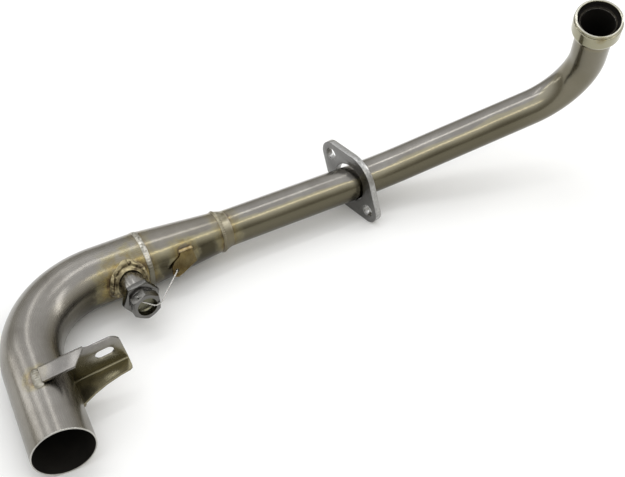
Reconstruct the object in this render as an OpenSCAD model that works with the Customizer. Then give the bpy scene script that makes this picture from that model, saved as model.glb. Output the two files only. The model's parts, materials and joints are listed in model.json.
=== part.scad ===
// Stainless exhaust header of a single-cylinder motorcycle, lying at rest:
// outlet tube flat on the surface, loose port flange standing on its straight edge.
// The origin is the centre of the outlet's end face, with +Z up and +X along the straight run.

/* [Pipes] */
// Outside diameter of the front pipe
front_d = 28; // [26:0.5:30]
// Outside diameter of the rear pipe
rear_d = 42; // [40:0.5:44]
// Wall of both pipes and of the cone
wall = 1.2; // [1:0.1:1.6]

/* [Route, from the outlet to the port] */
// Straight outlet
outlet_l = 72; // [66:1:80]
// Centre-line radius of the rear elbow
elbow_r = 70; // [66:1:76]
// Angle of the rear elbow
elbow_a = 84.8; // [80:0.1:90]
// Straight end of the rear pipe
rear_run = 33; // [30:1:38]
// Length of the cone between the two pipes
cone_l = 62; // [55:1:70]
// Straight run from the rear seam to the start of the sweep
run_l = 182.6; // [175:0.1:195]
// Centre-line radius of the gentle sweep
sweep_r = 145; // [130:1:170]
// Angle of the sweep
sweep_a = 19.5; // [15:0.1:22]
// Roll of the sweep's plane
sweep_turn = -53.8; // [-60:0.1:-48]
// Straight between the sweep and the port bend
mid_l = 108.7; // [100:0.1:120]
// Centre-line radius of the port bend
port_r = 48; // [44:1:54]
// Angle of the port bend
port_a = 85.6; // [80:0.1:90]
// Roll of the port bend's plane
port_turn = -17.9; // [-24:0.1:-10]
// Straight from the port bend to the port face
port_l = 45; // [40:1:52]

/* [Port collar] */
// Outside diameter of the sleeve
collar_d = 37; // [36:0.5:38]
// Outside diameter of the lip at the port face
lip_d = 36.2; // [35:0.1:36.4]
// Bore at the port face
mouth_d = 32; // [31:0.2:32.4]
// Length of the collar
collar_l = 17; // [15:0.5:20]
// Depth of the mouth before the pipe's end
mouth_l = 5; // [4:0.5:7]

/* [Loose flange] */
// Distance between the two stud holes
stud_pitch = 54; // [52:0.5:58]
// Diameter of each stud hole
stud_hole_d = 10; // [8.5:0.1:10.4]
// Distance of the flange from the rear seam
flange_s = 181.3; // [110:0.1:182]
// Hole that slides on the front pipe
flange_hole_d = 32; // [31.6:0.1:33]
// Radius of the flange's middle
flange_mid_r = 25.4; // [24.6:0.1:26.4]
// Radius of the flange's two ends
flange_end_r = 10.2; // [9:0.1:11]
// Thickness of the plate
flange_t = 5.4; // [5:0.1:7]
// Heading of the plate's normal, in degrees off the run
flange_yaw = 10.7; // [8:0.1:12]

/* [Hanger bracket] */
// Thickness of the folded sheet
sheet_t = 1.6; // [1.4:0.1:2]
// Inside radius of both folds
fold_r = 1.5; // [1:0.1:2]
// Roll of the bracket about the outlet tube
bracket_turn = -12.3; // [-20:0.1:-5]
// Distance of the web from the outlet's end
web_z = 53.1; // [50:0.1:56]
// Reach of the web's end from the tube's axis
web_reach = 58.5; // [54:0.5:64]
// Depth of the inner face of the lower flange below the tube's axis
crease_y = 6.1; // [5:0.1:8]
// Distance of the slot's middle from the web's end
slot_end = 12.5; // [10:0.5:14]
// End-to-end length of the slot
slot_l = 13; // [11:0.5:15]
// Width of the slot
slot_w = 7.6; // [6.6:0.1:8.4]

/* [Sensor port] */
// Distance of the boss from the end of the elbow
boss_z = 16.4; // [15:0.1:18]
// Roll of the boss about the pipe
boss_turn = -5.4; // [-10:0.1:0]
// Outside diameter of the boss
boss_d = 20; // [19:0.5:21]
// Distance of the boss's end from the pipe's axis
boss_top = 36.5; // [34:0.5:40]
// Large hexagon, across flats
adapter_af = 24; // [22:0.5:25]
// Thickness of the large hexagon
adapter_t = 5; // [4:0.5:6]
// Small hexagon, across flats
plug_af = 19; // [18.5:0.5:20]
// Thickness of the small hexagon, with its round end
plug_t = 8; // [7:0.5:9]
// Diameter of the recess in the plug
recess_d = 14.4; // [13.6:0.2:15]

/* [Lockwire] */
// Diameter of the twisted pair
wire_d = 1.2; // [0.8:0.1:1.3]
// Distance of the tab's foot from the rear seam
tab_z = 27.5; // [25:0.5:30]
// Roll of the tab about the cone
tab_turn = -29.5; // [-32:0.5:-27]

/* [Hidden] */
$fn = 72;
eps = 0.5;
rear_r = rear_d / 2;
front_r = front_d / 2;
// A mandrel bend thins its wall by this much on each side, and runs into the straight by lap
bend_thin = 0.05;
lap = 1;
// Slip of the front pipe in the cone, and its clearance
slip_l = 6;
slip_gap = 0.15;
neck_r = front_r + slip_gap + wall;
// Clearance kept between pieces that are joined by a weld
fit_gap = 0.05;
// Width of the rear seam and the height of its crown
seam_w = 4.6;
bead_h = 0.45;
// Collar: chamfers of its mouth and lip, the lip's height, the groove behind it and the rounded nose
mouth_edge = 0.4;
lip_edge = 0.6;
lip_h = 1.6;
groove_h = 0.9;
groove_depth = 0.8;
nose_l = 2;
// The tube lies in the flange's hole, this far above its lowest line
seat_gap = 0.35;
flange_side = 0.1;
edge_a = acos((flange_mid_r - flange_end_r) / (stud_pitch / 2));
// Rise of the straight run, from the tube's height on the surface and in the flange
run_rise = asin((flange_mid_r - flange_hole_d / 2 + front_r + seat_gap - rear_r)
    / (elbow_r * (1 - cos(elbow_a)) + sin(elbow_a) * (rear_run + flange_s)));
elbow_turn = -90 - run_rise;
// Plan position of the flange
flange_x = outlet_l * cos(elbow_a) + elbow_r * sin(elbow_a) + rear_run + flange_s;
flange_y = outlet_l * sin(elbow_a) + elbow_r * (1 - cos(elbow_a)) + flange_side;
// Bracket: the arm's width and its two ends, the web's shoulder, corner and slot height
arm_w = 13.1;
arm_y0 = 5;
arm_y1 = 26.8;
arm_y2 = 35.3;
shoulder_drop = 2.8;
corner_r = 7;
slot_rise = 7;
// Root of the bracket's lower flange, and its free edge: share of the web's reach, and width there
flange_root = 17;
flange_w = [[0.36, 19.9], [0.513, 15.7], [0.667, 12.7], [0.838, 10.7], [0.957, 10.1], [0.99, 9.1],
            [1, 7.1]];
// The plug's stack, measured from the pipe's axis
adapter_top = boss_top + adapter_t;
adapter_corner = 8;
plug_corner = 29;
washer_t = 2;
washer_d = 18.6;
plug_base = adapter_top + washer_t;
// Width and height of the bead inside the collar
collar_bead_w = 2.4;
collar_bead_h = 1;
// Reach of the fillet weld round the boss
boss_fillet = 4;
plug_top = plug_base + plug_t;
boss_bore = 13;
adapter_bore = 10.2;
thread_gap = 0.1;
adapter_thread = 12;
plug_thread = 9;
// Depth of the plug's recess, and the cut at the hexagons' corners
recess_l = 6.8;
corner_cut = 0.9;
wire_hole_d = wire_d + 0.4;
wire_hole_z = plug_top - 3.2;
wire_lift = wire_d / 2 + 0.1;
tab_t = 1.3;
tab_hole_d = 2.8;
tab_r = rear_r - (rear_r - neck_r) * tab_z / cone_l;

module at_outlet() rotate([0, 0, elbow_a]) rotate([0, 90, 0]) children();
module after_bend(r, a, turn) rotate([0, 0, turn]) translate([r * (1 - cos(a)), 0, r * sin(a)])
    rotate([0, a, 0]) children();
module at_elbow() at_outlet() translate([0, 0, outlet_l]) children();
module at_rear_run() at_elbow() after_bend(elbow_r, elbow_a, elbow_turn) children();
module at_cone() at_rear_run() translate([0, 0, rear_run]) children();
module at_neck() at_cone() translate([0, 0, cone_l]) children();
module at_sweep() at_cone() translate([0, 0, run_l]) children();
module at_mid() at_sweep() after_bend(sweep_r, sweep_a, sweep_turn) children();
module at_port_bend() at_mid() translate([0, 0, mid_l]) children();
module at_port_run() at_port_bend() after_bend(port_r, port_a, port_turn) children();
module at_port() at_port_run() translate([0, 0, port_l]) children();
module at_boss() at_rear_run() translate([0, 0, boss_z]) rotate([0, 0, boss_turn]) rotate([0, 90, 0])
    children();
module at_tab() at_cone() translate([0, 0, tab_z]) rotate([0, 0, tab_turn]) translate([tab_r, 0, 0])
    children();
// The bracket's frame: x points down from the tube's axis, -y along the arm, z up the tube
module at_bracket() at_outlet() rotate([0, 0, bracket_turn]) children();

// A straight tube that runs on into its neighbours: back at its start and on at its end
module tube(d, l, back, on) translate([0, 0, -back]) rotate_extrude()
    translate([d / 2 - wall, 0]) square([wall, l + back + on]);

// One bend, starting along +z and turning towards +x, its wall a little thinner than the straights'
module tube_bend(d, r, a, turn) rotate([0, 0, turn]) translate([r, 0, 0]) rotate([90, 0, 0])
    rotate([0, 0, 180 - a]) rotate_extrude(angle = a) translate([r, 0]) difference() {
        circle(r = d / 2 - bend_thin);
        circle(r = d / 2 - wall + bend_thin);
    }

// A raised weld bead round a tube, with its crown in the middle
module ring_bead(r, w, h, z) {
    crown_r = (w * w / 4 + h * h) / (2 * h);
    translate([0, 0, z]) rotate_extrude() intersection() {
        translate([r + h - crown_r, 0]) circle(crown_r, $fn = 2 * $fn);
        translate([r, -w]) square([2 * h, 2 * w]);
    }
}

// A straight weld bead along z, with round ends
module long_bead(r, l) {
    cylinder(r = r, h = l);
    sphere(r);
    translate([0, 0, l]) sphere(r);
}

module port_collar() color("#b9b49a") at_port() rotate([180, 0, 0]) rotate_extrude() polygon([
    [mouth_d / 2, mouth_edge], [mouth_d / 2 + mouth_edge, 0], [lip_d / 2 - lip_edge, 0],
    [lip_d / 2, lip_edge], [lip_d / 2, lip_h], [lip_d / 2 - groove_depth, lip_h + mouth_edge],
    [lip_d / 2 - groove_depth, lip_h + groove_h], [collar_d / 2 - mouth_edge / 2, lip_h + 2 * lip_edge],
    [collar_d / 2, lip_h + 2 * groove_depth], [collar_d / 2, collar_l - 2 * nose_l],
    [collar_d / 2 - groove_depth, collar_l - nose_l], [front_r + nose_l, collar_l - lip_edge],
    [front_r + nose_l / 2, collar_l], [front_r + fit_gap, collar_l], [front_r + fit_gap, mouth_l],
    [mouth_d / 2, mouth_l]]);

module front_pipe() color("#a8a59d") {
    at_neck() tube(front_d, run_l - cone_l, slip_l, lap);
    at_sweep() tube_bend(front_d, sweep_r, sweep_a, sweep_turn);
    at_mid() tube(front_d, mid_l, lap, lap);
    at_port_bend() tube_bend(front_d, port_r, port_a, port_turn);
    at_port_run() tube(front_d, port_l - mouth_l, lap, 0);
}

// Place of the loose flange: its plane upright, one straight edge on the surface
module at_flange() translate([flange_x, flange_y, flange_mid_r - rear_r]) rotate([0, 0, flange_yaw])
    rotate([0, 90, 0]) rotate([0, 0, -edge_a]) translate([0, 0, -flange_t / 2]) children();

// One of the eight points where a straight edge meets a round: far is 0 at the middle, 1 at an end
function tangent(far, sx, sy) = let (r = far == 1 ? flange_end_r : flange_mid_r)
    [sx * (far * stud_pitch / 2 + r * cos(edge_a)), sy * r * sin(edge_a)];

module loose_flange() color("#8f8d88") at_flange() difference() {
    union() {
        cylinder(r = flange_mid_r, h = flange_t);
        for (side = [-1, 1]) translate([side * stud_pitch / 2, 0, 0]) cylinder(r = flange_end_r, h = flange_t);
        linear_extrude(flange_t) polygon([tangent(0, 1, 1), tangent(1, 1, 1), tangent(1, 1, -1),
            tangent(0, 1, -1), tangent(0, -1, -1), tangent(1, -1, -1), tangent(1, -1, 1),
            tangent(0, -1, 1)]);
    }
    translate([0, 0, -eps]) cylinder(d = flange_hole_d, h = flange_t + 2 * eps);
    for (side = [-1, 1]) translate([side * stud_pitch / 2, 0, -eps])
        cylinder(d = stud_hole_d, h = flange_t + 2 * eps);
}

module reducer_cone() color("#a39c8b") at_cone() rotate_extrude() polygon([
    [rear_r - wall, 0], [rear_r, 0], [neck_r, cone_l], [neck_r - wall, cone_l],
    [neck_r - wall, cone_l - slip_l - 1], [neck_r - wall - 0.1, cone_l - slip_l - 2]]);

module rear_pipe() color("#9d9a93") {
    at_outlet() tube(rear_d, outlet_l, 0, lap);
    at_elbow() tube_bend(rear_d, elbow_r, elbow_a, elbow_turn);
    difference() {
        at_rear_run() tube(rear_d, rear_run, lap, 0);
        at_boss() cylinder(d = boss_bore, h = rear_d);
    }
}

// The sheet's quarter fold, with its axis along y and its middle at the origin
module fold(l, turn) rotate([90, 0, 0]) rotate([0, 0, turn]) rotate_extrude(angle = 90)
    translate([fold_r, 0]) square([sheet_t, l]);

module slot_hole(l, w, h) {
    for (side = [-1, 1]) translate([0, side * (l - w) / 2, 0]) cylinder(d = w, h = h);
    translate([-w / 2, -(l - w) / 2, 0]) cube([w, l - w, h]);
}

module bracket_sheet() {
    fold_z = web_z - fold_r;
    arm_x = -rear_r;
    arm_z0 = web_z - arm_w;
    shoulder_x = arm_x + shoulder_drop;
    // Arm over the top of the tube
    translate([arm_x, 0, 0]) rotate([0, -90, 0]) linear_extrude(sheet_t)
        polygon([[arm_z0, -arm_y0], [arm_z0, -arm_y1], [fold_z, -arm_y2], [fold_z, -arm_y0]]);
    translate([arm_x + fold_r, -arm_y2, fold_z]) rotate([0, 0, 180]) fold(arm_y2 - arm_y0, 0);
    // Web across the tube
    translate([0, 0, web_z]) linear_extrude(sheet_t) {
        polygon([[arm_x + fold_r, -arm_y0], [arm_x + fold_r, -arm_y2],
            [shoulder_x, -arm_y2 - shoulder_drop], [shoulder_x, -web_reach + corner_r],
            [shoulder_x + corner_r, -web_reach], [crease_y - fold_r, -web_reach],
            [crease_y - fold_r, -arm_y0]]);
        translate([shoulder_x + corner_r, -web_reach + corner_r]) circle(corner_r);
    }
    // Lower flange, wide at the tube and narrow at its end
    translate([crease_y - fold_r, -flange_root, fold_z]) fold(web_reach - flange_root, 0);
    translate([crease_y + sheet_t, 0, 0]) rotate([0, -90, 0]) linear_extrude(sheet_t)
        polygon(concat([[fold_z, -web_reach], [fold_z, -flange_root],
            [web_z - flange_w[0][1], -flange_root]],
            [for (point = flange_w) [web_z - point[1], -point[0] * web_reach]]));
}

module hanger_bracket() color("#aaa79f") at_bracket() difference() {
    bracket_sheet();
    cylinder(r = rear_r + fit_gap, h = 2 * outlet_l);
    translate([-slot_rise, slot_end - web_reach, web_z - eps]) slot_hole(slot_l, slot_w, sheet_t + 2 * eps);
}

module sensor_boss() color("#a9a6a0") at_boss() difference() {
    cylinder(d = boss_d, h = boss_top);
    rotate([0, 90, 0]) translate([0, 0, -rear_d]) cylinder(r = rear_r + fit_gap, h = 2 * rear_d);
    cylinder(d = boss_bore, h = boss_top + eps);
}

module hexagon(af, t, turn) rotate([0, 0, turn]) cylinder(d = af / cos(30), h = t, $fn = 6);

// A hexagon with its corners turned down at both ends
module turned_hex(af, t, turn) intersection() {
    hexagon(af, t, turn);
    rotate_extrude() polygon([[0, 0], [af / 2, 0], [af / 2 + 2 * corner_cut, corner_cut],
        [af / 2 + 2 * corner_cut, t - corner_cut], [af / 2, t], [0, t]]);
}

module sensor_adapter() color("#a5a39e") at_boss() difference() {
    union() {
        translate([0, 0, boss_top]) turned_hex(adapter_af, adapter_t, adapter_corner);
        translate([0, 0, boss_top - adapter_thread])
            cylinder(d = boss_bore - 2 * thread_gap, h = adapter_thread + eps);
    }
    cylinder(d = adapter_bore, h = adapter_top + eps);
}

module plug_washer() color("#6f6d69") at_boss() translate([0, 0, adapter_top]) difference() {
    cylinder(d = washer_d, h = washer_t);
    translate([0, 0, -eps]) cylinder(d = adapter_bore + 0.2, h = washer_t + 2 * eps);
}

module boss_plug() color("#b3b0aa") at_boss() difference() {
    union() {
        translate([0, 0, plug_base]) turned_hex(plug_af, plug_t, plug_corner);
        translate([0, 0, plug_base - plug_thread])
            cylinder(d = adapter_bore - 2 * thread_gap, h = plug_thread + eps);
    }
    translate([0, 0, plug_top]) rotate([180, 0, 0]) rotate_extrude()
        polygon([[0, -eps], [recess_d / 2, -eps], [recess_d / 2, recess_l - 2 * corner_cut],
            [recess_d / 2 - corner_cut, recess_l - corner_cut], [0, recess_l]]);
    translate([0, 0, wire_hole_z]) rotate([0, 0, plug_corner - 90]) rotate([0, 90, 0])
        cylinder(d = wire_hole_d, h = plug_af);
}

// One straight stretch of the wire, with a round end
module wire_stretch(a, b) {
    v = b - a;
    l = norm(v);
    translate(a) rotate([0, acos(v.z / l), atan2(v.y, v.x)]) cylinder(d = wire_d, h = l);
    translate(b) sphere(d = wire_d + 0.06);
}

// Route in the boss's frame: through the plug's cross hole, over its rim and to the tab
wire_out = [cos(plug_corner - 90), sin(plug_corner - 90), 0];
wire_route = [10.4 * wire_out + [0, 0, wire_hole_z], 6.3 * wire_out + [0, 0, wire_hole_z],
    [2.4, -4.6, plug_top - 1.4], [-5.6, 0.9, plug_top + wire_lift],
    [-10.2, -0.5, plug_top + wire_lift + 0.3], [-12, -1.2, plug_top], [-15.4, -0.6, plug_top - 4.6],
    [-34.9, 2.7, 23.4], [-35.3, 2.8, 21.2]];

module lockwire() color("#c9c6c0") at_boss() {
    translate(wire_route[0]) sphere(d = wire_d + 0.06, $fn = 24);
    for (i = [1 : len(wire_route) - 1]) wire_stretch(wire_route[i - 1], wire_route[i], $fn = 24);
}

module lockwire_tab() color("#a58f63") difference() {
    at_tab() translate([0.2, 0, 0]) rotate([90, 0, 90]) linear_extrude(tab_t) difference() {
        polygon([[0, 6.5], [9.6, 7.5], [15.5, -5.5], [16.6, -9], [16, -11.6], [13.5, -12.8],
            [8.7, -12], [5.5, -9.4], [2.5, -4.5], [0, -3]]);
        translate([11.6, -9]) circle(d = tab_hole_d);
    }
    at_cone() cylinder(r1 = rear_r + fit_gap, r2 = neck_r + fit_gap, h = cone_l);
}

module weld_collar() color("#8a7d68") at_port() difference() {
    ring_bead(front_r - wall, collar_bead_w, collar_bead_h, 2 * fit_gap - mouth_l);
    translate([0, 0, -mouth_l - collar_bead_w]) cylinder(r = mouth_d / 2, h = collar_bead_w);
}

module weld_front_seam() color("#b5a06a") at_neck() rotate_extrude() polygon([
    [front_r + fit_gap, 0.05], [neck_r + fit_gap, 0.05], [neck_r + 0.2, -1.6], [neck_r + 0.7, -0.4],
    [neck_r + 0.8, 1.4], [neck_r + 0.3, 3.4], [front_r + 1, 5.4], [front_r + 0.35, 7],
    [front_r + fit_gap, 8]]);

module weld_rear_seam() color("#b3a57e") at_cone() ring_bead(rear_r + fit_gap, seam_w, bead_h, 0);

// A round pad on the pipe's side, following its curve
module saddle(r, h) intersection() {
    cylinder(r = r, h = rear_d);
    rotate([0, 90, 0]) translate([0, 0, -rear_d]) cylinder(r = rear_r + h, h = 2 * rear_d);
}

module weld_boss() color("#8f7a52") at_boss() difference() {
    union() {
        saddle(boss_d / 2 + boss_fillet, boss_fillet / 3);
        saddle(boss_d / 2 + boss_fillet / 2, 2 * boss_fillet / 3);
    }
    rotate([0, 90, 0]) translate([0, 0, -rear_d]) cylinder(r = rear_r + fit_gap, h = 2 * rear_d);
    translate([0, 0, -eps]) cylinder(d = boss_d + 2 * fit_gap, h = rear_d + 2 * eps);
}

module weld_tab() color("#c7b88a") difference() {
    at_tab() translate([0, -0.9, -3]) long_bead(1.3, 9);
    at_cone() cylinder(r1 = rear_r + fit_gap, r2 = neck_r + fit_gap, h = cone_l);
    at_tab() translate([0.2 - fit_gap, -fit_gap, -15]) cube([tab_t + 2 * fit_gap, 4, 30]);
}

module weld_bracket_upper() color("#c2bfb6") at_bracket() difference() {
    rotate([0, 0, 7]) translate([-rear_r + 2, 0, 43.4]) long_bead(4, 8);
    cylinder(r = rear_r + fit_gap, h = 2 * outlet_l);
    translate([-2 * rear_r, -15 + -5 + fit_gap, 0]) cube([2 * rear_r, 15, 2 * outlet_l]);
}

module weld_bracket_lower() color("#8f8570") at_bracket() difference() {
    translate([crease_y + sheet_t + 0.6, -sqrt(rear_r * rear_r - 64) - 0.6, 35]) long_bead(2.2, 15);
    cylinder(r = rear_r + fit_gap, h = 2 * outlet_l);
    translate([0, -rear_d, 0]) cube([crease_y + sheet_t + fit_gap, rear_d, 2 * outlet_l]);
}

port_collar();
front_pipe();
loose_flange();
reducer_cone();
rear_pipe();
hanger_bracket();
sensor_boss();
sensor_adapter();
plug_washer();
boss_plug();
lockwire();
lockwire_tab();
weld_collar();
weld_front_seam();
weld_rear_seam();
weld_boss();
weld_tab();
weld_bracket_upper();
weld_bracket_lower();
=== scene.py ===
"""Looks of the stainless exhaust header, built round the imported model."""
import json

import bmesh
import bpy
import numpy as np
from mathutils import Matrix, Vector


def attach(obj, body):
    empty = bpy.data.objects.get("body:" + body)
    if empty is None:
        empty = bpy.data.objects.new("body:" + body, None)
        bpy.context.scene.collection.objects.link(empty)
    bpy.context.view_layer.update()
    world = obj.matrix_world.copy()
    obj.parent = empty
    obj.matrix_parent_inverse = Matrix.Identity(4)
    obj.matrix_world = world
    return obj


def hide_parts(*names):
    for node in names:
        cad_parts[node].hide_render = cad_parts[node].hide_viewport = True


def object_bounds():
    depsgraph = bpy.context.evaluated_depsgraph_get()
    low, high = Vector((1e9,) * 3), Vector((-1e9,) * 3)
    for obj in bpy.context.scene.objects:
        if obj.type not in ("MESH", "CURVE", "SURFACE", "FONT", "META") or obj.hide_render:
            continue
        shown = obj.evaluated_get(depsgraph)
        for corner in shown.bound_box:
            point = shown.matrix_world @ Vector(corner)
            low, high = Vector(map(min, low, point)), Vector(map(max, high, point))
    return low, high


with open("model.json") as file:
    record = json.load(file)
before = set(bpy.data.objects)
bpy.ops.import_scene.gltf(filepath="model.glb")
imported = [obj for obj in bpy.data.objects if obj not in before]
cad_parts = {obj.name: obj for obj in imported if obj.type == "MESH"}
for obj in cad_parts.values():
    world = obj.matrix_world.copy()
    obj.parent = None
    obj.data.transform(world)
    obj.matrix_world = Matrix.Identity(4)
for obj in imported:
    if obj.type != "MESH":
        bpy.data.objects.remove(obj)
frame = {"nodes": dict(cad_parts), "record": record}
cad_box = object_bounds()

# The view.
# The header lies on a table and is seen from above its outlet side; the lens is a short
# telephoto one, so the thin pipe runs away from the camera with little taper.
table_z = cad_box[0][2]
view_from = Vector((-0.0753, -0.4129, 0.5537 + table_z))
view_along = Vector((0.3844, 0.6373, -0.6679))
view_up = Vector((0.3248, 0.5839, 0.7440))
camera = bpy.data.objects.new("camera", bpy.data.cameras.new("camera"))
camera.data.sensor_width = 36
camera.data.lens = 60.985
view_right = view_along.cross(view_up).normalized()
view_axes = Matrix((view_right, view_right.cross(view_along), -view_along.normalized())).transposed()
camera.matrix_world = Matrix.Translation(view_from) @ view_axes.to_4x4()
bpy.context.scene.collection.objects.link(camera)
bpy.context.scene.camera = camera
bpy.context.scene.view_settings.view_transform = "Standard"

# The studio.
# A pale table top under a pale sky, and six strip lamps round the header, which draw the
# long streaks along the satin pipes.
middle = (Vector(cad_box[0]) + Vector(cad_box[1])) / 2
table_mesh = bpy.data.meshes.new("table_top")
table_half = 4.0
table_corners = [(table_half * x, table_half * y, table_z) for x, y in ((-1, -1), (1, -1), (1, 1), (-1, 1))]
table_mesh.from_pydata(table_corners, [], [(0, 1, 2, 3)])
table_top = bpy.data.objects.new("table_top", table_mesh)
bpy.context.scene.collection.objects.link(table_top)


def new_material(name, metallic=1.0):
    """A node material and its Principled shader, with its metallic value set."""
    material = bpy.data.materials.new(name)
    material.use_nodes = True
    shader = material.node_tree.nodes["Principled BSDF"]
    shader.inputs["Metallic"].default_value = metallic
    return material, material.node_tree, shader


def add(tree, kind, values=None, **settings):
    """A node of that kind, its settings given by name; values are links or plain inputs by socket name."""
    made = tree.nodes.new(kind)
    for key, value in settings.items():
        setattr(made, key, value)
    for key, value in (values or {}).items():
        socket = made.inputs[key]
        if isinstance(value, bpy.types.NodeSocket):
            tree.links.new(value, socket)
        else:
            socket.default_value = value
    return made


paper, tree, shader = new_material("pale_table", metallic=0.0)
shader.inputs["Roughness"].default_value = 0.8
shader.inputs["Specular IOR Level"].default_value = 0.2
speck = add(tree, "ShaderNodeTexNoise", {"Scale": 60.0, "Detail": 3.0})
tint = add(tree, "ShaderNodeMix", {"Factor": speck.outputs["Fac"]}, data_type="RGBA")
tint.inputs[6].default_value = (0.93, 0.93, 0.925, 1)
tint.inputs[7].default_value = (0.96, 0.96, 0.955, 1)
tree.links.new(tint.outputs[2], shader.inputs["Base Color"])
table_mesh.materials.append(paper)

world = bpy.data.worlds.new("studio")
bpy.context.scene.world = world
world.use_nodes = True
sky = world.node_tree
aloft = add(sky, "ShaderNodeSeparateXYZ", {0: add(sky, "ShaderNodeTexCoord").outputs["Generated"]})
height = add(sky, "ShaderNodeMapRange", {"Value": aloft.outputs["Z"], "From Min": 0.0, "From Max": 0.9},
             interpolation_type="SMOOTHSTEP")
glow = add(sky, "ShaderNodeMix", {0: height.outputs[0], 6: (0.50, 0.48, 0.42, 1), 7: (1.10, 1.11, 1.13, 1)},
           data_type="RGBA")
sky.links.new(glow.outputs[2], sky.nodes["Background"].inputs["Color"])
sky.nodes["Background"].inputs["Strength"].default_value = 1.0


def strip_lamp(name, place, aim, size, watts, colour):
    """A rectangular lamp of that size at a place, turned to face the point aim."""
    lamp = bpy.data.lights.new(name, "AREA")
    lamp.shape = "RECTANGLE"
    lamp.size, lamp.size_y = size
    lamp.energy = watts
    lamp.color = colour
    made = bpy.data.objects.new(name, lamp)
    made.location = place
    made.rotation_euler = (Vector(aim) - Vector(place)).to_track_quat("-Z", "Y").to_euler()
    bpy.context.scene.collection.objects.link(made)


white, straw = (1, 1, 1), (1, 0.93, 0.74)
for lamp_name, towards, away, size, watts, lamp_colour in (
        ("strip_left", (-0.72, 0.64, 0.27), 1.7, (0.14, 0.70), 1.0, white),
        ("strip_left_high", (-0.46, 0.64, 0.62), 1.7, (0.14, 0.80), 0.9, white),
        ("strip_back", (-0.02, 0.64, 0.77), 1.8, (0.14, 0.80), 1.0, white),
        ("strip_right", (0.85, -0.06, 0.52), 1.8, (0.22, 1.4), 4.4, white),
        ("strip_over", (0.0, 0.26, 0.96), 1.8, (1.70, 0.15), 3.4, white),
        ("strip_front", (0.05, -0.61, 0.76), 1.8, (1.70, 0.11), 2.4, straw)):
    strip_lamp(lamp_name, middle + Vector(towards) * away, middle, size, watts, lamp_colour)

# The two pipes.
# Drawn stainless tubes, 28 mm and 42 mm across with a thin wall, bent on a mandrel, blasted
# and rubbed along their length; they are cut square and welded to the cone between them.
wall = 0.0012
rear_r = 0.021
front_r = 0.014
outlet_l, elbow_r, elbow_a, rear_run = 0.072, 0.070, 84.8, 0.033
cone_l, run_l, slip_l = 0.062, 0.1826, 0.006
sweep_r, sweep_a, sweep_turn = 0.145, 19.5, -53.8
mid_l = 0.1087
port_r, port_a, port_turn = 0.048, 85.6, -17.9
port_l, mouth_l = 0.045, 0.005
run_rise = 0.5687


def turned(axis, degrees):
    """Turning matrices (n, 4, 4) about x, y or z, for an array of angles."""
    a = np.atleast_1d(np.radians(degrees)).astype(float)
    c, s = np.cos(a), np.sin(a)
    m = np.tile(np.eye(4), (len(a), 1, 1))
    i, j = {"x": (1, 2), "y": (2, 0), "z": (0, 1)}[axis]
    m[:, i, i], m[:, i, j], m[:, j, i], m[:, j, j] = c, -s, s, c
    return m


def moved(x, y, z):
    """Moving matrices (n, 4, 4), for arrays or numbers x, y and z."""
    x, y, z = np.broadcast_arrays(*np.atleast_1d(x, y, z))
    m = np.tile(np.eye(4), (len(x), 1, 1))
    m[:, 0, 3], m[:, 1, 3], m[:, 2, 3] = x, y, z
    return m


def straight(start, length, count):
    """Frames along a straight leg: the start frame moved along its own z by 0 to length."""
    return start @ moved(0, 0, np.linspace(0, length, count))


def bend(start, radius, angle, roll, count):
    """Frames round a bend: z turns by 0 to angle towards the x axis rolled by roll, on a circle of radius."""
    a = np.linspace(0, angle, count)
    circle = moved(radius * (1 - np.cos(np.radians(a))), 0, radius * np.sin(np.radians(a)))
    return start @ turned("z", roll) @ circle @ turned("y", a) @ turned("z", -roll)


outlet = moved(0, 0, table_z + rear_r) @ turned("z", elbow_a) @ turned("y", 90)
elbow_roll = -90 - run_rise
elbow = bend(outlet @ moved(0, 0, outlet_l), elbow_r, elbow_a, elbow_roll, 90)
rear_end = elbow[-1:] @ moved(0, 0, rear_run)
sweep = bend(rear_end @ moved(0, 0, run_l), sweep_r, sweep_a, sweep_turn + elbow_roll, 50)
middle_end = sweep[-1:] @ moved(0, 0, mid_l)
port_bend = bend(middle_end, port_r, port_a, port_turn + sweep_turn + elbow_roll, 80)
port_face = port_bend[-1:] @ moved(0, 0, port_l)


def joined(*legs):
    """Legs put end to end, the frame they share counted once, and each frame's station in metres."""
    frames = np.concatenate([legs[0]] + [leg[1:] for leg in legs[1:]])
    steps = np.linalg.norm(np.diff(frames[:, :3, 3], axis=0), axis=1)
    return frames, np.concatenate([[0], np.cumsum(steps)])


def placed(frames, x, y, z):
    """The points (x, y, z) of a frame's own axes, as grid[row, column] in the scene's axes: F (x, y, z, 1).
    There is one frame for them all, or one for each row."""
    local = np.stack(np.broadcast_arrays(x, y, z, 1.0), -1)
    return np.einsum("...ij,...cj->...ci", frames, local)[..., :3]


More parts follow.
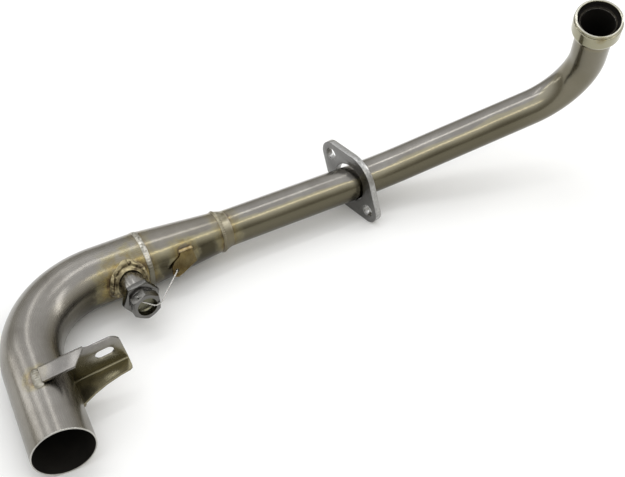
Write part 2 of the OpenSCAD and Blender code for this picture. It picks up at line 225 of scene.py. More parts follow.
def lay_surface(name, grid, along, around, wrap_rows=False, inner=None):
    """Quads over grid[row, column], closed round the columns. UV is (around, along), in metres.
    A row takes the material whose number inner gives it."""
    rows, columns = grid.shape[:2]
    row, column = np.meshgrid(np.arange(rows if wrap_rows else rows - 1), np.arange(columns), indexing="ij")
    corner_rows = np.stack([row, row, row + 1, row + 1], -1)
    corner_columns = np.stack([column, column + 1, column + 1, column], -1)
    quads = ((corner_rows % rows) * columns + corner_columns % columns).reshape(-1, 4)
    mesh = bpy.data.meshes.new(name)
    mesh.vertices.add(rows * columns)
    mesh.vertices.foreach_set("co", np.ascontiguousarray(grid, dtype=np.float32).ravel())
    mesh.loops.add(quads.size)
    mesh.loops.foreach_set("vertex_index", quads.astype(np.int32).ravel())
    mesh.polygons.add(len(quads))
    mesh.polygons.foreach_set("loop_start", np.arange(0, quads.size, 4, dtype=np.int32))
    mesh.polygons.foreach_set("loop_total", np.full(len(quads), 4, dtype=np.int32))
    mesh.polygons.foreach_set("use_smooth", np.ones(len(quads), dtype=bool))
    if inner is not None:
        mesh.polygons.foreach_set("material_index", inner[row].astype(np.int32).ravel())
    mesh.update(calc_edges=True)
    place = mesh.uv_layers.new(name="Place")
    along = np.append(along, along[0]) if wrap_rows else along
    uv = np.stack([around[corner_columns], along[corner_rows]], -1)
    place.data.foreach_set("uv", uv.astype(np.float32).ravel())
    made = bpy.data.objects.new(name, mesh)
    bpy.context.scene.collection.objects.link(made)
    return made


def closed_off(made):
    """Merges the points that lie on one another at a pole, fills an open rim and turns the faces outward."""
    work = bmesh.new()
    work.from_mesh(made.data)
    bmesh.ops.remove_doubles(work, verts=work.verts, dist=1e-7)
    bmesh.ops.holes_fill(work, edges=work.edges, sides=0)
    bmesh.ops.recalc_face_normals(work, faces=work.faces)
    work.to_mesh(made.data)
    work.free()
    return made


def pipe(name, frames, station, radius):
    """A tube of that outside radius along the frames: outer wall, round lip, inner wall back, round lip.
    A ring of radius r lies at r (cos a, sin a) in each frame's own x-y plane."""
    columns = 144
    count = len(frames)
    edge = wall / 2
    lip = np.radians(np.linspace(15, 165, 7))
    lip_r = radius - edge + edge * np.cos(lip)
    lip_z = edge * np.sin(lip)
    inward = np.clip(station, station[0] + edge, station[-1] - edge)
    body = frames @ moved(0, 0, inward - station)
    far = np.tile(body[-1:], (len(lip), 1, 1)) @ moved(0, 0, lip_z)
    near = np.tile(body[:1], (len(lip), 1, 1)) @ moved(0, 0, -lip_z[::-1])
    rings = np.concatenate([body, far, body[::-1], near])
    radii = np.concatenate([np.full(count, radius), lip_r, np.full(count, radius - wall), lip_r[::-1]])
    along = np.concatenate([inward, station[-1] + 0 * lip, inward[::-1], station[0] + 0 * lip])
    outer_skin, bore_skin, lip_skin = 0, 1, 2
    inner = np.full(len(rings), outer_skin)
    inner[count - 1:] = lip_skin
    inner[count + len(lip) - 2:2 * count + len(lip) + 1] = bore_skin
    angle = np.linspace(0, 2 * np.pi, columns + 1)
    reach = radii[:, None]
    grid = placed(rings, reach * np.cos(angle[:-1]), reach * np.sin(angle[:-1]), 0.0)
    return lay_surface(name, grid, along, angle * radius, wrap_rows=True, inner=inner)


def new_group(name, inputs, outputs):
    """A shader node group with those named sockets, and its input and output nodes."""
    group = bpy.data.node_groups.new(name, "ShaderNodeTree")
    for key, kind, value in inputs:
        socket = group.interface.new_socket(key, in_out="INPUT", socket_type=kind)
        socket.default_value = value
    for key, kind in outputs:
        group.interface.new_socket(key, in_out="OUTPUT", socket_type=kind)
    return group, group.nodes.new("NodeGroupInput"), group.nodes.new("NodeGroupOutput")


def rub_group():
    """Fine rub marks: noise on the place stretched by Along and Across, as a value round 0.5."""
    group, given, out = new_group(
        "rub_marks", [("Place", "NodeSocketVector", (0, 0, 0)), ("Across", "NodeSocketFloat", 2000.0),
                      ("Along", "NodeSocketFloat", 60.0)], [("Value", "NodeSocketFloat")])
    stretch = add(group, "ShaderNodeCombineXYZ", {"X": given.outputs["Across"], "Y": given.outputs["Along"],
                                                  "Z": given.outputs["Across"]})
    scaled = add(group, "ShaderNodeVectorMath", {0: given.outputs["Place"], 1: stretch.outputs[0]},
                 operation="MULTIPLY")
    grain = add(group, "ShaderNodeTexNoise", {"Vector": scaled.outputs[0], "Scale": 1.0, "Detail": 4.0,
                                              "Roughness": 0.65})
    group.links.new(grain.outputs["Fac"], out.inputs["Value"])
    return group


def tint_group():
    """Heat tint of stainless: with the distance from the weld, violet brown, gold and olive fade into Base.
    Two noises make the bands ragged, and a slower one leaves bare patches."""
    group, given, out = new_group(
        "heat_tint", [("Base", "NodeSocketColor", (0.6, 0.58, 0.54, 1)), ("Distance", "NodeSocketFloat", 1.0),
                      ("Reach", "NodeSocketFloat", 0.02), ("Strength", "NodeSocketFloat", 1.0),
                      ("Place", "NodeSocketVector", (0, 0, 0))], [("Color", "NodeSocketColor")])
    ragged = add(group, "ShaderNodeTexNoise", {"Vector": given.outputs["Place"], "Scale": 95.0, "Detail": 6.0,
                                               "Roughness": 0.65})
    share = add(group, "ShaderNodeMath", {0: given.outputs["Distance"], 1: given.outputs["Reach"]},
                operation="DIVIDE")
    shifted = add(group, "ShaderNodeMath", {0: ragged.outputs["Fac"], 1: 1.3, 2: share.outputs[0]},
                  operation="MULTIPLY_ADD")
    level = add(group, "ShaderNodeMath", {0: shifted.outputs[0], 1: 0.60}, operation="SUBTRACT")
    ramp = add(group, "ShaderNodeValToRGB", {"Fac": level.outputs[0]})
    stops = ramp.color_ramp.elements
    stops[0].position, stops[0].color = 0.0, (0.075, 0.048, 0.036, 1)
    stops[1].position, stops[1].color = 1.0, (0.23, 0.215, 0.165, 1)
    for position, colour in ((0.12, (0.13, 0.09, 0.045, 1)), (0.26, (0.25, 0.20, 0.085, 1)),
                             (0.42, (0.21, 0.175, 0.10, 1)), (0.60, (0.27, 0.24, 0.14, 1))):
        stops.new(position).color = colour
    fade = add(group, "ShaderNodeMapRange", {"Value": level.outputs[0], "From Min": 0.40, "From Max": 1.0,
                                             "To Min": 1.0, "To Max": 0.0}, interpolation_type="SMOOTHSTEP")
    bare = add(group, "ShaderNodeTexNoise", {"Vector": given.outputs["Place"], "Scale": 150.0, "Detail": 2.0})
    patch = add(group, "ShaderNodeMapRange", {"Value": bare.outputs["Fac"], "From Min": 0.35,
                                              "From Max": 0.60, "To Min": 0.45, "To Max": 1.0})
    covered = add(group, "ShaderNodeMath", {0: fade.outputs[0], 1: patch.outputs[0]}, operation="MULTIPLY")
    weight = add(group, "ShaderNodeMath", {0: covered.outputs[0], 1: given.outputs["Strength"]},
                 operation="MULTIPLY")
    mixed = add(group, "ShaderNodeMix", {0: weight.outputs[0], 6: given.outputs["Base"],
                                         7: ramp.outputs["Color"]}, data_type="RGBA")
    group.links.new(mixed.outputs[2], out.inputs["Color"])
    return group


def painted_shade_group():
    """Painted shade of the front and the underside: with the normal's height, plus a little noise and plus
    0.75 of how far it points back, Base turns to a narrow gold band, a painted highlight, and then to the
    dark colour, a painted shade."""
    group, given, out = new_group(
        "painted_shade", [("Base", "NodeSocketColor", (0.3, 0.28, 0.25, 1)),
                        ("Fringe", "NodeSocketColor", (0.33, 0.30, 0.20, 1)),
                        ("Stain", "NodeSocketColor", (0.10, 0.09, 0.06, 1)),
                        ("Strength", "NodeSocketFloat", 1.0),
                        ("Place", "NodeSocketVector", (0, 0, 0))], [("Color", "NodeSocketColor")])
    facing = add(group, "ShaderNodeSeparateXYZ", {0: add(group, "ShaderNodeNewGeometry").outputs["Normal"]})
    uneven = add(group, "ShaderNodeTexNoise", {"Vector": given.outputs["Place"], "Scale": 28.0,
                                               "Detail": 4.0})
    level = add(group, "ShaderNodeMath", {0: uneven.outputs["Fac"], 1: 0.35, 2: facing.outputs["Z"]},
                operation="MULTIPLY_ADD")
    behind = add(group, "ShaderNodeMath", {0: facing.outputs["Y"], 1: 0.0}, operation="MAXIMUM")
    level = add(group, "ShaderNodeMath", {0: behind.outputs[0], 1: 0.75, 2: level.outputs[0]},
                operation="MULTIPLY_ADD")
    edge = add(group, "ShaderNodeMapRange", {"Value": level.outputs[0], "From Min": 1.02, "From Max": 0.93,
                                             "To Max": 0.8}, interpolation_type="SMOOTHSTEP")
    edge = add(group, "ShaderNodeMath", {0: edge.outputs[0], 1: given.outputs["Strength"]},
               operation="MULTIPLY")
    highlighted = add(group, "ShaderNodeMix", {0: edge.outputs[0], 6: given.outputs["Base"],
                                           7: given.outputs["Fringe"]}, data_type="RGBA")
    side = add(group, "ShaderNodeMapRange", {"Value": level.outputs[0], "From Min": 0.93, "From Max": 0.50},
               interpolation_type="SMOOTHSTEP")
    side = add(group, "ShaderNodeMath", {0: side.outputs[0], 1: given.outputs["Strength"]},
               operation="MULTIPLY")
    darker_mix = add(group, "ShaderNodeMix", {0: side.outputs[0], 6: highlighted.outputs[2],
                                           7: given.outputs["Stain"]}, data_type="RGBA")
    group.links.new(darker_mix.outputs[2], out.inputs["Color"])
    return group


rub_marks = rub_group()
heat_tint = tint_group()
painted_shade = painted_shade_group()


def grouped(tree, group, **values):
    """A group node in a material, its inputs given by name."""
    return add(tree, "ShaderNodeGroup", values, node_tree=group)


def satin_steel(name, colours, place, across, along, rough, cloud_scale=45.0):
    """Satin stainless: the rub marks vary the roughness and lift the surface, and a slow noise mottles the
    colour. Returns the material, its tree, its shader, the place and the mottled colour, for tints."""
    rub_depth = 0.00001
    material, tree, shader = new_material(name)
    source = add(tree, "ShaderNodeTexCoord")
    body = source.outputs["Object"]
    marks = grouped(tree, rub_marks, Place=source.outputs[place], Across=across, Along=along)
    cloud = add(tree, "ShaderNodeTexNoise", {"Vector": body, "Scale": cloud_scale, "Detail": 5.0,
                                             "Roughness": 0.6})
    mottle = add(tree, "ShaderNodeMapRange", {"Value": cloud.outputs["Fac"], "From Min": 0.3,
                                              "From Max": 0.7})
    mixed = add(tree, "ShaderNodeMix", {0: mottle.outputs[0], 6: (*colours[0], 1), 7: (*colours[1], 1)},
                data_type="RGBA")
    streak = add(tree, "ShaderNodeMapRange", {"Value": marks.outputs[0], "From Min": 0.25, "From Max": 0.75,
                                              "To Min": 0.90, "To Max": 1.06})
    marked = add(tree, "ShaderNodeVectorMath", {0: mixed.outputs[2], 1: streak.outputs[0]},
                 operation="MULTIPLY")
    sheen = add(tree, "ShaderNodeMapRange", {"Value": marks.outputs[0], "From Min": 0.25, "From Max": 0.75,
                                             "To Min": rough[0], "To Max": rough[1]})
    tree.links.new(sheen.outputs[0], shader.inputs["Roughness"])
    lifted = add(tree, "ShaderNodeBump", {"Height": marks.outputs[0], "Strength": 0.12,
                                          "Distance": rub_depth})
    tree.links.new(lifted.outputs[0], shader.inputs["Normal"])
    return material, tree, shader, body, marked.outputs[0]


def distance_to(tree, place, point):
    """Distance of each point of the surface from one point, in metres."""
    return add(tree, "ShaderNodeVectorMath", {0: place, 1: point}, operation="DISTANCE").outputs["Value"]


def distance_from_axis(tree, place, point, axis):
    """Distance of each point of the surface from a line through a point: the length of (P - point) x axis."""
    arm = add(tree, "ShaderNodeVectorMath", {0: place, 1: point}, operation="SUBTRACT")
    turned_arm = add(tree, "ShaderNodeVectorMath", {0: arm.outputs[0], 1: axis}, operation="CROSS_PRODUCT")
    return add(tree, "ShaderNodeVectorMath", {0: turned_arm.outputs[0]}, operation="LENGTH").outputs["Value"]


def less(tree, value, amount):
    """A value less a plain amount, not under nought."""
    return add(tree, "ShaderNodeMath", {0: value, 1: amount}, operation="SUBTRACT", use_clamp=True).outputs[0]


def from_station(tree, station):
    """Distance along the pipe from a station, from the UV map."""
    source = add(tree, "ShaderNodeUVMap", uv_map="Place")
    split = add(tree, "ShaderNodeSeparateXYZ", {0: source.outputs[0]})
    gap = add(tree, "ShaderNodeMath", {0: split.outputs["Y"], 1: station}, operation="SUBTRACT")
    return add(tree, "ShaderNodeMath", {0: gap.outputs[0]}, operation="ABSOLUTE").outputs[0]


def fading(tree, distance, near, far, near_value, far_value):
    """A value that goes smoothly from near_value to far_value as the distance goes from near to far."""
    return add(tree, "ShaderNodeMapRange", {"Value": distance, "From Min": near, "From Max": far,
                                            "To Min": near_value, "To Max": far_value},
               interpolation_type="SMOOTHSTEP").outputs[0]


def finish_steel(tree, shader, colour, body, tints, shade_colour=None, highlight_colour=(0.33, 0.30, 0.20), strength=1.0):
    """The painted shade of the front and the underside, edged by a gold band of painted highlight, then each
    tint (distance socket, reach, strength), laid over the last.
    """
    if shade_colour:
        colour = grouped(tree, painted_shade, Base=colour, Fringe=(*highlight_colour, 1), Stain=(*shade_colour, 1),
                         Strength=strength, Place=body).outputs[0]
    for distance, reach, tint_strength in tints:
        laid = grouped(tree, heat_tint, Base=colour, Distance=distance, Reach=reach, Strength=tint_strength,
                       Place=body)
        colour = laid.outputs[0]
    tree.links.new(colour, shader.inputs["Base Color"])


def plain_steel(*settings):
    """Satin stainless with neither stain nor tint."""
    material, tree, shader, body, colour = satin_steel(*settings)
    finish_steel(tree, shader, colour, body, [])
    return material


def put_in_place(piece, node, slot, *steels, body="header"):
    """Puts a piece in its node's place, hiding the node, with its materials and the body that it rides on;
    slot is not used.
    """
    for steel in steels:
        piece.data.materials.append(steel)
    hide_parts(node)
    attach(piece, body)


# Inner walls painted near black as a painted shade, dull and a little uneven
shaded_bore, tree, shader = new_material("dark_bore", metallic=0.0)
shader.inputs["Specular IOR Level"].default_value = 0.15
bore_mottle = add(tree, "ShaderNodeTexNoise", {"Vector": add(tree, "ShaderNodeTexCoord").outputs["Object"],
                                        "Scale": 90.0, "Detail": 4.0})
dark = add(tree, "ShaderNodeMix", {0: bore_mottle.outputs["Fac"], 6: (0.006, 0.0055, 0.005, 1),
                                   7: (0.02, 0.018, 0.015, 1)}, data_type="RGBA")
tree.links.new(dark.outputs[2], shader.inputs["Base Color"])
shader.inputs["Roughness"].default_value = 0.75

rear_frames, rear_station = joined(straight(outlet, outlet_l, 40), elbow, straight(elbow[-1:], rear_run, 24))
front_start = rear_end @ moved(0, 0, cone_l - slip_l)
front_frames, front_station = joined(
    straight(front_start, run_l - cone_l + slip_l, 60), sweep, straight(sweep[-1:], mid_l, 50), port_bend,
    straight(port_bend[-1:], port_l - mouth_l, 30))
rear_length = rear_station[-1]
front_length = front_station[-1]

boss_z, boss_turn = 0.0164, -5.4
rear_run_frame = elbow[-1:] @ turned("z", elbow_roll)
boss_frame = (rear_run_frame @ moved(0, 0, boss_z) @ turned("z", boss_turn) @ turned("y", 90))[0]
boss_foot = (boss_frame @ np.array([0, 0, rear_r, 1]))[:3]
bracket_turn = -12.3
bracket_frame = (outlet @ turned("z", bracket_turn))[0]
bead_place = (bracket_frame @ np.array([-rear_r, -0.0026, 0.0474, 1]))[:3]

cut_edge = plain_steel(
    "cut_edge", ((0.42, 0.41, 0.38), (0.52, 0.51, 0.48)), "Object", 900.0, 900.0, (0.20, 0.30))
pipe_colours = ((0.205, 0.192, 0.172), (0.275, 0.262, 0.240))
# The dark colours below are painted shade on the front and underside of the pipes, and the pale gold one is a
# painted highlight band at its edge; the fading strengths weaken it along the pipes.
rear_shade, rear_highlight = (0.052, 0.045, 0.029), (0.25, 0.232, 0.19)
front_shade = (0.082, 0.073, 0.048)
rear_steel, tree, shader, body, colour = satin_steel(
    "rear_pipe_steel", pipe_colours, "UV", 2600.0, 50.0, (0.21, 0.31))
finish_steel(tree, shader, colour, body, [
    (from_station(tree, rear_length), 0.012, 0.55),
    (less(tree, distance_to(tree, body, boss_foot), 0.0135), 0.020, 0.95),
    (less(tree, distance_to(tree, body, bead_place), 0.005), 0.008, 0.7)],
    rear_shade, rear_highlight, fading(tree, from_station(tree, rear_length), 0.035, 0.110, 1.0, 0.35))
put_in_place(pipe("pipe_rear", rear_frames, rear_station, rear_r), "rear_pipe", "pipe_steel",
             rear_steel, shaded_bore, cut_edge)

front_steel, tree, shader, body, colour = satin_steel(
    "front_pipe_steel", pipe_colours, "UV", 2600.0, 50.0, (0.18, 0.27))
finish_steel(tree, shader, colour, body, [
    (from_station(tree, slip_l + 0.006), 0.014, 0.7),
    (from_station(tree, front_length - 0.012), 0.010, 0.4)], front_shade,
    strength=fading(tree, from_station(tree, 0.0), 0.25, 0.33, 0.85, 0.55))
put_in_place(pipe("pipe_front", front_frames, front_station, front_r), "front_pipe", "pipe_steel",
             front_steel, shaded_bore, cut_edge)

# The cone.
# Rolled from stainless sheet to a taper, welded to the rear pipe's end and slipped over the
# front pipe; its finish is that of the pipes, with gold where the tab was welded on.
slip_gap = 0.00015
neck_r = front_r + slip_gap + wall


def carried_round(start, r, z, angle):
    """The points (r cos a, r sin a, z) of a frame, the last angle being the first one again."""
    return placed(start[0], r * np.cos(angle[:-1]), r * np.sin(angle[:-1]), z)


def turned_piece(name, start, profile, columns=144, inner=None):
    """A profile of (radius, z) points, closed on itself, carried round the frame's z axis."""
    angle = np.linspace(0, 2 * np.pi, columns + 1)
    grid = carried_round(start, profile[:, :1], profile[:, 1:], angle)
    return lay_surface(name, grid, profile[:, 1], angle * profile[:, 0].mean(), wrap_rows=True, inner=inner)


cone_out = np.stack([np.linspace(rear_r, neck_r, 60), np.linspace(0, cone_l, 60)], -1)
cone_in = cone_out[::-1] - [wall, 0]
cone = turned_piece("cone_shell", rear_end, np.concatenate([cone_out, cone_in]))
tab_z, tab_turn = 0.0275, -29.5
tab_r = rear_r - (rear_r - neck_r) * tab_z / cone_l
cone_frame = rear_run_frame @ moved(0, 0, rear_run)
tab_frame = (cone_frame @ moved(0, 0, tab_z) @ turned("z", tab_turn) @ moved(tab_r, 0, 0))[0]
tab_foot = tab_frame[:3, 3]
cone_steel, tree, shader, body, colour = satin_steel(
    "cone_steel", ((0.20, 0.185, 0.158), (0.265, 0.248, 0.218)), "UV", 2600.0, 50.0, (0.18, 0.27))
# The dark colour given last is a painted shade on the cone's front and underside, edged by a painted
# highlight band.
finish_steel(tree, shader, colour, body, [
    (from_station(tree, 0.0), 0.012, 0.6), (from_station(tree, cone_l), 0.012, 0.7),
    (less(tree, distance_to(tree, body, tab_foot), 0.003), 0.014, 0.9)], (0.055, 0.048, 0.030))
put_in_place(cone, "reducer_cone", "pipe_steel", cone_steel)

# The weld beads.
# Laid by hand with a filler rod, so each bead is a row of small overlapping crescents,
# bright on its crown and straw to brown at its edges.


def weld_steel(name, light, deep, tint_scale=260.0, shade_colour=None):
    """Weld metal: a noise carries it between a light and a deep colour, with a painted shade on its lower
    side edged by the light colour as a painted highlight.
    """
    material, tree, shader = new_material(name)
    body = add(tree, "ShaderNodeTexCoord").outputs["Object"]
    cloud = add(tree, "ShaderNodeTexNoise", {"Vector": body, "Scale": tint_scale, "Detail": 3.0})
    level = add(tree, "ShaderNodeMapRange", {"Value": cloud.outputs["Fac"], "From Min": 0.35,
                                             "From Max": 0.65})
    mixed = add(tree, "ShaderNodeMix", {0: level.outputs[0], 6: (*deep, 1), 7: (*light, 1)}, data_type="RGBA")
    finish_steel(tree, shader, mixed.outputs[2], body, [], shade_colour, light)
    fine = add(tree, "ShaderNodeTexNoise", {"Vector": body, "Scale": 1800.0, "Detail": 3.0})
    sheen = add(tree, "ShaderNodeMapRange", {"Value": fine.outputs["Fac"], "To Min": 0.22, "To Max": 0.42})
    tree.links.new(sheen.outputs[0], shader.inputs["Roughness"])
    lifted = add(tree, "ShaderNodeBump", {"Height": fine.outputs["Fac"], "Strength": 0.3,
                                          "Distance": 0.00004})
    tree.links.new(lifted.outputs[0], shader.inputs["Normal"])
    return material


def ripple(turns, cross):
    """Height of the crescents, 0 to 1: sin(pi w^0.6)^0.7, w being the fraction of the turn count plus bow
    times the square of the place across the bead."""
    bow = 0.35
    wave = (turns + bow * cross ** 2) % 1.0
    return np.sin(np.pi * wave ** 0.6) ** 0.7


def ring_bead(name, start, radius, width, height, count):
    """A rippled bead round a pipe: across it, with x from -1 to 1, the height is h (1 - |x|^2.2) less its
    crescents. Its two edges are sunk 0.4 mm into the pipe."""
    x = np.linspace(-1, 1, 15)[:, None]
    angle = np.linspace(0, 2 * np.pi, 721)
    turn = angle[None, :-1] / (2 * np.pi) * count
    wander = 0.06 * np.sin(turn * 0.9) + 0.05 * np.sin(turn * 2.3 + 1)
    high = height * (1 - np.abs(x) ** 2.2) * (0.78 + 0.22 * ripple(turn, x)) - 0.0004 * (np.abs(x) > 0.99)
    z = (x + wander * (1 - np.abs(x))) * width / 2
    grid = carried_round(start, radius + high, z, angle)
    return lay_surface(name, grid, (x[:, 0] + 1) * width / 2, angle * radius, wrap_rows=True)


# seam_weld's last colour is a painted shade on the bead's front and lower side, edged by its light colour as
# a painted highlight.
seam_weld = weld_steel("seam_weld", (0.58, 0.56, 0.50), (0.15, 0.14, 0.112), 620.0, (0.15, 0.14, 0.105))
put_in_place(ring_bead("bead_rear_seam", rear_end, rear_r, width=0.0044, height=0.00042, count=56),
             "weld_rear_seam", "weld_steel", seam_weld)
# gold_weld's last colour is a painted shade on its front and lower side, edged by its light colour as a
# painted highlight.
gold_weld = weld_steel("gold_weld", (0.36, 0.33, 0.25), (0.20, 0.175, 0.115), shade_colour=(0.17, 0.15, 0.10))
neck = rear_end @ moved(0, 0, cone_l)


def neck_bead(name, start, count):
    """The fillet from the cone's end down to the front pipe. At z from -1.7 to 8 mm its radius is
    15.75 - 1.72 smooth((z + 0.4) / 8.4) mm, with a rippled ridge 0.65 exp(-((z - 0.3) / 0.8)^2) mm on it,
    whose crown wanders. Its two edges are sunk into the steel."""
    z = np.linspace(-0.0017, 0.0080, 34)[:, None]
    angle = np.linspace(0, 2 * np.pi, 541)
    turn = angle[None, :-1] / (2 * np.pi) * count
    share = np.clip((z + 0.0004) / 0.0084, 0, 1)
    fall = 0.01575 - 0.00172 * share ** 2 * (3 - 2 * share)
    crown = 0.0003 + 0.0002 * np.sin(turn * 0.7)
    ridge = 0.00065 * np.exp(-((z - crown) / 0.0008) ** 2) * (0.6 + 0.4 * ripple(turn, (z - crown) / 0.001))
    wave = 0.00008 * ripple(turn, z / 0.004) * (z < 0.0055)
    r = fall + ridge + wave - 0.0006 * (z < -0.0016) - 0.0003 * (z > 0.0079)
    return lay_surface(name, carried_round(start, r, z, angle), z[:, 0], angle * front_r, wrap_rows=True)


put_in_place(neck_bead("bead_front_seam", neck, count=58), "weld_front_seam", "weld_steel", gold_weld)
collar_seat = port_face @ moved(0, 0, -mouth_l + 0.0001)


def ring_of_profile(name, start, radius, size, count):
    """A thin rippled bead inside a ring: a circle of that size carried round, swelling with each crescent."""
    around = np.linspace(0, 2 * np.pi, 13)[:-1, None]
    angle = np.linspace(0, 2 * np.pi, 361)
    swell = size * (0.85 + 0.15 * ripple(angle[None, :-1] / (2 * np.pi) * count, np.sin(around)))
    grid = carried_round(start, radius - swell * np.cos(around), -swell * np.sin(around), angle)
    return lay_surface(name, grid, size * around[:, 0], angle * radius, wrap_rows=True)


# The collar's inner bead is painted near black, a painted shade inside the collar's mouth.
painted_dark_weld = weld_steel("painted_dark_weld", (0.05, 0.045, 0.035), (0.02, 0.018, 0.015))
put_in_place(ring_of_profile("bead_collar", collar_seat, radius=0.0138, size=0.0009, count=48),
             "weld_collar", "weld_steel", painted_dark_weld)


def foot_bead(name, start, inner_r, reach, count):
    """The weld round a boss on a pipe. At the share x of its reach and the angle a it stands above the pipe
    by a fillet 2.0 exp(-(x / 0.25)^2) mm and a row of lumps 1.35 exp(-((x - 0.66) / 0.21)^2) mm. It reaches
    less far on the side of the seam."""
    x = np.append(0, np.linspace(0, 1, 30))[:, None]
    angle = np.linspace(0, 2 * np.pi, 541)
    a = angle[None, :-1]
    turn = a / (2 * np.pi) * count + 0.45 * np.sin(3 * a) + 0.3 * np.sin(8 * a + 1)
    wide = reach * (1 - 0.22 * np.clip(-np.cos(a), 0, 1) ** 2
                    + 0.07 * np.sin(3 * a + 1) + 0.05 * np.sin(7 * a))
    lumps = 0.30 + 0.75 * ripple(turn, 2 * x - 1) + 0.25 * np.sin(4 * a + 2) + 0.2 * np.sin(11 * a) * x
    high = 0.0020 * np.exp(-(x / 0.25) ** 2) + 0.00135 * np.exp(-((x - 0.66) / 0.21) ** 2) * lumps
    sunk = -0.0005
    high = high + sunk * (x > 0.985)
    high[0] = sunk
    r = inner_r + x * wide
    side = r * np.sin(a)
    lift = (rear_r + high) / rear_r
    grid = placed(start, r * np.cos(a), side * lift, np.sqrt(rear_r ** 2 - side ** 2) * lift)
    return lay_surface(name, grid[::-1], x[::-1, 0] * reach, angle * inner_r, wrap_rows=True)


def capsule_bead(name, start, half_l, half_w, height, count):
    """A short bead with round ends on the top of the tube. At the share p of its reach, in the direction t,
    it lies at (half_w p sin t) across and (half_w p cos t + (half_l - half_w) p tanh(3 cos t)) along, and
    stands height (1 - p^4) (1 - 0.3 exp(-(p / 0.45)^2)) above the tube, less its crescents."""
    p = np.linspace(0, 1, 22)[:, None]
    angle = np.linspace(0, 2 * np.pi, 145)
    t = angle[None, :-1]
    across = half_w * p * np.sin(t)
    along = half_w * p * np.cos(t) + (half_l - half_w) * p * np.tanh(3 * np.cos(t))
    crescents = 0.82 + 0.18 * ripple(along / (2 * half_l) * count, across / half_w)
    high = height * (1 - p ** 4) * (1 - 0.3 * np.exp(-(p / 0.45) ** 2)) * crescents - 0.0004 * (p > 0.99)
    round_turn = across / rear_r
    r = rear_r + high
    grid = placed(start, -r * np.cos(round_turn), r * np.sin(round_turn), along)
    return closed_off(lay_surface(name, grid[::-1], p[::-1, 0] * half_l, angle * half_w))


bead_turn, bead_z = bracket_turn + 7.0, 0.0458
bead_frame = (outlet @ turned("z", bead_turn) @ moved(0, 0, bead_z))[0]
bead_weld = weld_steel("bracket_weld", (0.36, 0.345, 0.30), (0.22, 0.205, 0.165), 300.0)
put_in_place(capsule_bead("bead_bracket", bead_frame, half_l=0.0088, half_w=0.0036, height=0.0020, count=9),
             "weld_bracket_upper", "weld_steel", bead_weld)
boss_weld = weld_steel("boss_weld", (0.42, 0.365, 0.22), (0.105, 0.082, 0.05), 260.0)
put_in_place(foot_bead("bead_boss", boss_frame, inner_r=0.0099, reach=0.0060, count=17),
             "weld_boss", "weld_steel", boss_weld)

# The port collar.
# Turned from stainless bar and pressed over the pipe's end, with a rolled lip that seals in the
# cylinder head; polished, painted near black inside as a painted shade, browned in one place by the heat.


def rounded(points, radius, steps, closed=True):
    """A path whose corners are Bezier curves: (1 - s)^2 A + 2 s (1 - s) P + s^2 B, where A and B lie on the
    two sides of corner P, radius away or 0.45 of the side."""
    before = np.roll(points, 1, axis=0) - points
    after = np.roll(points, -1, axis=0) - points
    if not closed:
        before[0] = 0
        after[-1] = 0
    size_before = np.linalg.norm(before, axis=-1, keepdims=True)
    size_after = np.linalg.norm(after, axis=-1, keepdims=True)
    a = points + before * np.minimum(0.45, radius / np.maximum(size_before, 1e-9))
    b = points + after * np.minimum(0.45, radius / np.maximum(size_after, 1e-9))
    s = np.linspace(0, 1, steps)[None, :, None]
    curve = (1 - s) ** 2 * a[:, None] + 2 * s * (1 - s) * points[:, None] + s ** 2 * b[:, None]
    return curve.reshape(-1, points.shape[1])


collar_points = [(16.0, 0.4), (16.4, 0.0), (17.5, 0.0), (18.1, 0.6), (18.1, 1.6), (17.3, 2.0), (17.3, 2.5),
                 (18.3, 2.8), (18.5, 3.3), (18.5, 13.0), (17.7, 15.0), (16.0, 16.4), (15.0, 17.0),
                 (14.05, 17.0), (14.05, 5.0), (16.0, 5.0)]
corner_r, corner_steps, bore_corners = 0.0005, 7, 3
collar_profile = rounded(np.array(collar_points) * (0.001, -0.001), corner_r, corner_steps)[::-1]
collar_inner = np.zeros(len(collar_profile), dtype=bool)
collar_inner[:bore_corners * corner_steps] = True
collar_inner[-1] = True
collar = turned_piece("sleeve_and_lip", port_face, collar_profile, 180, inner=collar_inner)
collar_steel, tree, shader, body, colour = satin_steel(
    "collar_steel", ((0.42, 0.41, 0.34), (0.54, 0.525, 0.46)), "UV", 300.0, 2600.0, (0.10, 0.18))
# The groove round the collar is painted near black.
groove = add(tree, "ShaderNodeMapRange", {"Value": from_station(tree, -0.0021), "From Min": 0.0006,
                                          "From Max": 0.0012, "To Min": 1.0, "To Max": 0.0})
dark_groove = add(tree, "ShaderNodeMix", {0: groove.outputs[0], 6: colour, 7: (0.03, 0.022, 0.015, 1)},
            data_type="RGBA")
colour = dark_groove.outputs[2]
scorch = (port_face[0] @ np.array([-0.0023, -0.0184, -0.0030, 1]))[:3]
# The two colours after the scorch tint are a painted shade on the collar's front and underside and a painted
# highlight band at its edge.
finish_steel(tree, shader, colour, body, [(distance_to(tree, body, scorch), 0.0065, 1.0)],
             (0.30, 0.285, 0.20), (0.50, 0.48, 0.38))
put_in_place(collar, "port_collar", "bare_steel", collar_steel, shaded_bore)

# The lockwire.
# Two strands of 0.6 mm stainless wire twisted together by hand, led through the plug's cross
# hole, over its rim and to the hole in the tab, so that the plug can't work loose.
plug_top = 51.5
wire_route = np.array([
    (5.04, -9.10, plug_top - 3.2), (3.05, -5.51, plug_top - 3.2), (2.4, -4.6, plug_top - 1.4),
    (-5.6, 0.9, plug_top + 0.7), (-10.2, -0.5, plug_top + 1.0), (-12, -1.2, plug_top),
    (-15.4, -0.6, plug_top - 4.6), (-34.9, 2.7, 23.4), (-35.3, 2.8, 21.2)]) / 1000


